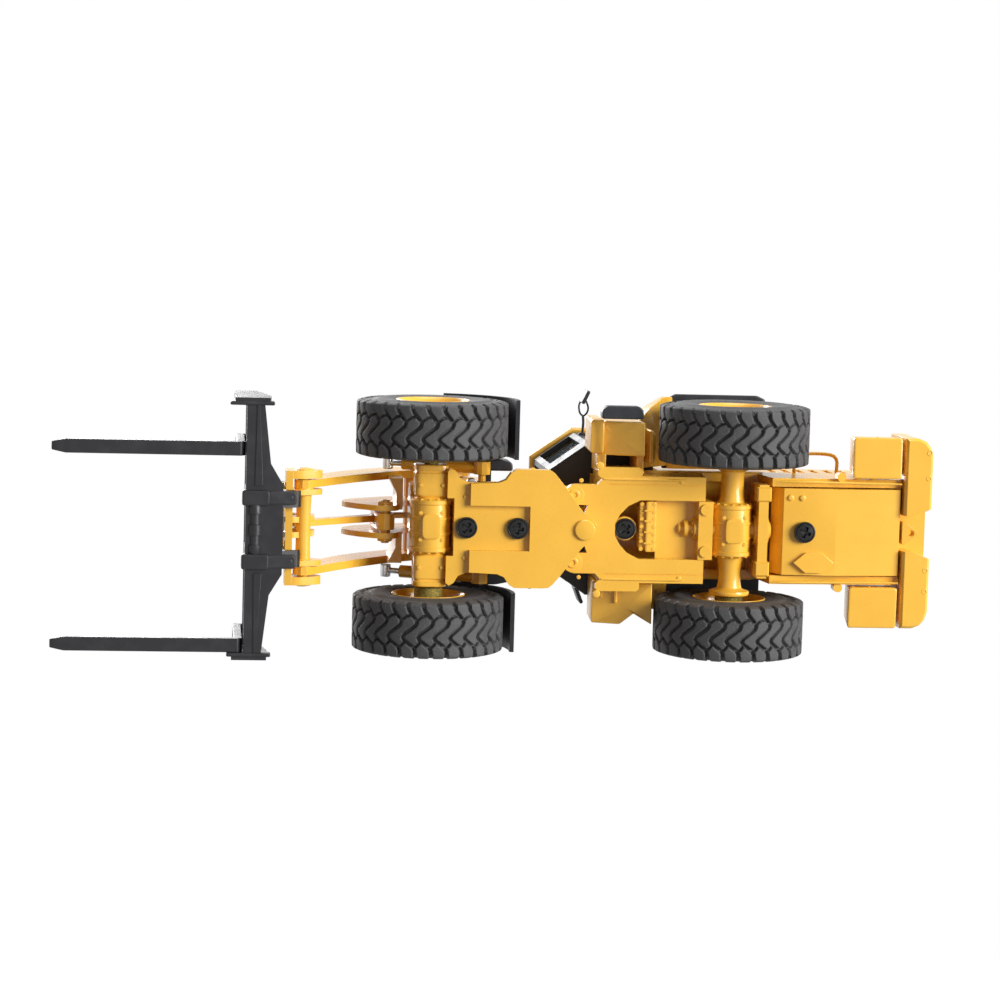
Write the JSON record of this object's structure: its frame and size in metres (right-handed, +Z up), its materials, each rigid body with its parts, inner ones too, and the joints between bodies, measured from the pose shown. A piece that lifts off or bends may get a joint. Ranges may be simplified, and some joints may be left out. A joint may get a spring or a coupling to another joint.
{
  "type": "toy front loader",
  "caption": "Articulated toy wheel loader with a tilting quick coupler and a pallet fork whose tines slide on their carriage.",
  "frame": {"origin": "on the ground, in the middle of the loader's own bounding box", "axes": "+Z up, +Y towards the counterweight, so the forks point along -Y, and +X to the loader's left"},
  "size_m": [0.0604, 0.2044, 0.0694],
  "materials": {
    "yellow_paint": "gloss",
    "black_paint": "satin",
    "black_plastic": "matte",
    "tyre_rubber": "matte",
    "steel": "bright",
    "brass": "satin",
    "cab_glass": "clear"
  },
  "bodies": {
    "rear": {"rear_frame": "yellow_paint", "belly_pan": "yellow_paint", "counterweight": "yellow_paint", "tow_hitch": "yellow_paint", "left_side_box": "yellow_paint", "right_side_box": "yellow_paint", "hood": "yellow_paint", "radiator_grille": "black_plastic", "exhaust_stack": "black_plastic", "cab_frame": "black_plastic", "cab_glazing": "cab_glass", "cab_roof": "yellow_paint", "seat": "black_plastic", "steering_column": "black_plastic", "left_step": "yellow_paint", "right_step": "yellow_paint", "left_tread": "black_plastic", "left_rear_fender": "black_plastic", "right_rear_fender": "black_plastic", "handrail": "yellow_paint", "left_mirror": "black_plastic", "right_mirror": "black_plastic", "gearbox": "yellow_paint", "rear_screw_1": "black_paint", "rear_screw_2": "black_paint"},
    "rear_axle": {"rear_axle": "yellow_paint", "rear_shaft": "brass"},
    "left_rear_wheel": {"left_rear_tyre": "tyre_rubber", "left_rear_rim": "yellow_paint"},
    "right_rear_wheel": {"right_rear_tyre": "tyre_rubber", "right_rear_rim": "yellow_paint"},
    "front": {"front_frame": "yellow_paint", "hitch_pin": "yellow_paint", "front_screw_1": "black_paint", "front_screw_2": "black_paint", "left_front_fender": "black_plastic", "right_front_fender": "black_plastic", "front_axle": "yellow_paint", "front_shaft": "brass"},
    "left_front_wheel": {"left_front_tyre": "tyre_rubber", "left_front_rim": "yellow_paint"},
    "right_front_wheel": {"right_front_tyre": "tyre_rubber", "right_front_rim": "yellow_paint"},
    "left_steer_barrel": {"left_steer_barrel": "yellow_paint"},
    "left_steer_rod": {"left_steer_rod": "steel"},
    "right_steer_barrel": {"right_steer_barrel": "yellow_paint"},
    "right_steer_rod": {"right_steer_rod": "steel"},
    "boom": {"boom": "yellow_paint"},
    "left_lift_barrel": {"left_lift_barrel": "yellow_paint"},
    "left_lift_rod": {"left_lift_rod": "steel"},
    "right_lift_barrel": {"right_lift_barrel": "yellow_paint"},
    "right_lift_rod": {"right_lift_rod": "steel"},
    "tilt_barrel": {"tilt_barrel": "yellow_paint"},
    "tilt_rod": {"tilt_rod": "steel"},
    "bell_crank": {"bell_crank": "yellow_paint"},
    "tilt_link": {"tilt_link": "yellow_paint"},
    "coupler": {"coupler": "yellow_paint", "fork_carriage": "black_paint"},
    "left_fork": {"left_fork": "black_paint"},
    "right_fork": {"right_fork": "black_paint"}
  },
  "joints": [
    {"name": "steering", "type": "hinge", "parent": "rear", "child": "front", "pos_m": [0, 0.01972, 0.0112], "axis": [0, 0, 1], "range_deg": [-35, 35]},
    {"name": "axle_swing", "type": "hinge", "parent": "rear", "child": "rear_axle", "pos_m": [0, 0.05523, 0.0176], "axis": [0, 1, 0], "range_deg": [-8, 8]},
    {"name": "left_front_roll", "type": "hinge", "parent": "front", "child": "left_front_wheel", "pos_m": [0.0224, -0.01578, 0.0176], "axis": [1, 0, 0], "continuous": true},
    {"name": "left_rear_roll", "type": "hinge", "parent": "rear_axle", "child": "left_rear_wheel", "pos_m": [0.0224, 0.05523, 0.0176], "axis": [1, 0, 0], "continuous": true},
    {"name": "right_front_roll", "type": "hinge", "parent": "front", "child": "right_front_wheel", "pos_m": [-0.0224, -0.01578, 0.0176], "axis": [1, 0, 0], "continuous": true},
    {"name": "right_rear_roll", "type": "hinge", "parent": "rear_axle", "child": "right_rear_wheel", "pos_m": [-0.0224, 0.05523, 0.0176], "axis": [1, 0, 0], "continuous": true},
    {"name": "lift", "type": "hinge", "parent": "front", "child": "boom", "pos_m": [0, -0.00777, 0.045], "axis": [-1, 0, 0], "range_deg": [-3, 45]},
    {"name": "left_lift_swing", "type": "hinge", "parent": "front", "child": "left_lift_barrel", "pos_m": [0.0129, -0.00328, 0.024], "axis": [-1, 0, 0], "range_deg": [-1.9, 21.53]},
    {"name": "left_lift_stroke", "type": "slide", "parent": "left_lift_barrel", "child": "left_lift_rod", "axis": [0, -0.9067, 0.4217], "range_m": [-0.00109, 0.01218]},
    {"name": "right_lift_swing", "type": "hinge", "parent": "front", "child": "right_lift_barrel", "pos_m": [-0.0129, -0.00328, 0.024], "axis": [-1, 0, 0], "range_deg": [-1.9, 21.53]},
    {"name": "right_lift_stroke", "type": "slide", "parent": "right_lift_barrel", "child": "right_lift_rod", "axis": [0, -0.9067, 0.4217], "range_m": [-0.00109, 0.01218]},
    {"name": "tilt", "type": "hinge", "parent": "boom", "child": "coupler", "pos_m": [0, -0.04548, 0.0086], "axis": [-1, 0, 0], "range_deg": [-25, 25]},
    {"name": "crank_turn", "type": "hinge", "parent": "boom", "child": "bell_crank", "pos_m": [0, -0.02577, 0.0235], "axis": [-1, 0, 0], "range_deg": [-26, 26]},
    {"name": "link_turn", "type": "hinge", "parent": "bell_crank", "child": "tilt_link", "pos_m": [0, -0.02678, 0.03124], "axis": [-1, 0, 0], "range_deg": [-26, 26]},
    {"name": "tilt_swing", "type": "hinge", "parent": "boom", "child": "tilt_barrel", "pos_m": [0, -0.00228, 0.041], "axis": [-1, 0, 0], "range_deg": [-2.24, 2.24]},
    {"name": "tilt_stroke", "type": "slide", "parent": "tilt_barrel", "child": "tilt_rod", "axis": [0, -0.9798, -0.2], "range_m": [-0.00561, 0.00561]},
    {"name": "left_steer_swing", "type": "hinge", "parent": "rear", "child": "left_steer_barrel", "pos_m": [0.008, 0.01773, 0.0176], "axis": [0, 0, 1], "range_deg": [-39.55, 39.55]},
    {"name": "left_steer_stroke", "type": "slide", "parent": "left_steer_barrel", "child": "left_steer_rod", "axis": [0.0748, -0.9972, 0], "range_m": [-0.00483, 0.00483]},
    {"name": "right_steer_swing", "type": "hinge", "parent": "rear", "child": "right_steer_barrel", "pos_m": [-0.008, 0.01773, 0.0176], "axis": [0, 0, 1], "range_deg": [-39.55, 39.55]},
    {"name": "right_steer_stroke", "type": "slide", "parent": "right_steer_barrel", "child": "right_steer_rod", "axis": [-0.0748, -0.9972, 0], "range_m": [-0.00483, 0.00483]},
    {"name": "left_fork_slide", "type": "slide", "parent": "coupler", "child": "left_fork", "axis": [1, 0, 0], "range_m": [-0.0074, 0.0083]},
    {"name": "right_fork_slide", "type": "slide", "parent": "coupler", "child": "right_fork", "axis": [1, 0, 0], "range_m": [0, 0.0157]}
  ],
  "couplings": [
    {"joint": "left_lift_swing", "follows": "lift", "ratio": 0.4673},
    {"joint": "left_lift_stroke", "follows": "lift", "m_per_rad": 0.015131},
    {"joint": "right_lift_swing", "follows": "lift", "ratio": 0.4673},
    {"joint": "right_lift_stroke", "follows": "lift", "m_per_rad": 0.015131},
    {"joint": "crank_turn", "follows": "tilt", "ratio": 1},
    {"joint": "link_turn", "follows": "tilt", "ratio": -1},
    {"joint": "tilt_swing", "follows": "tilt", "ratio": -0.0496},
    {"joint": "tilt_stroke", "follows": "tilt", "m_per_rad": -0.012167},
    {"joint": "left_steer_swing", "follows": "steering", "ratio": 1.1157},
    {"joint": "left_steer_stroke", "follows": "steering", "m_per_rad": -0.007417},
    {"joint": "right_steer_swing", "follows": "steering", "ratio": 1.1157},
    {"joint": "right_steer_stroke", "follows": "steering", "m_per_rad": 0.007417}
  ]
}
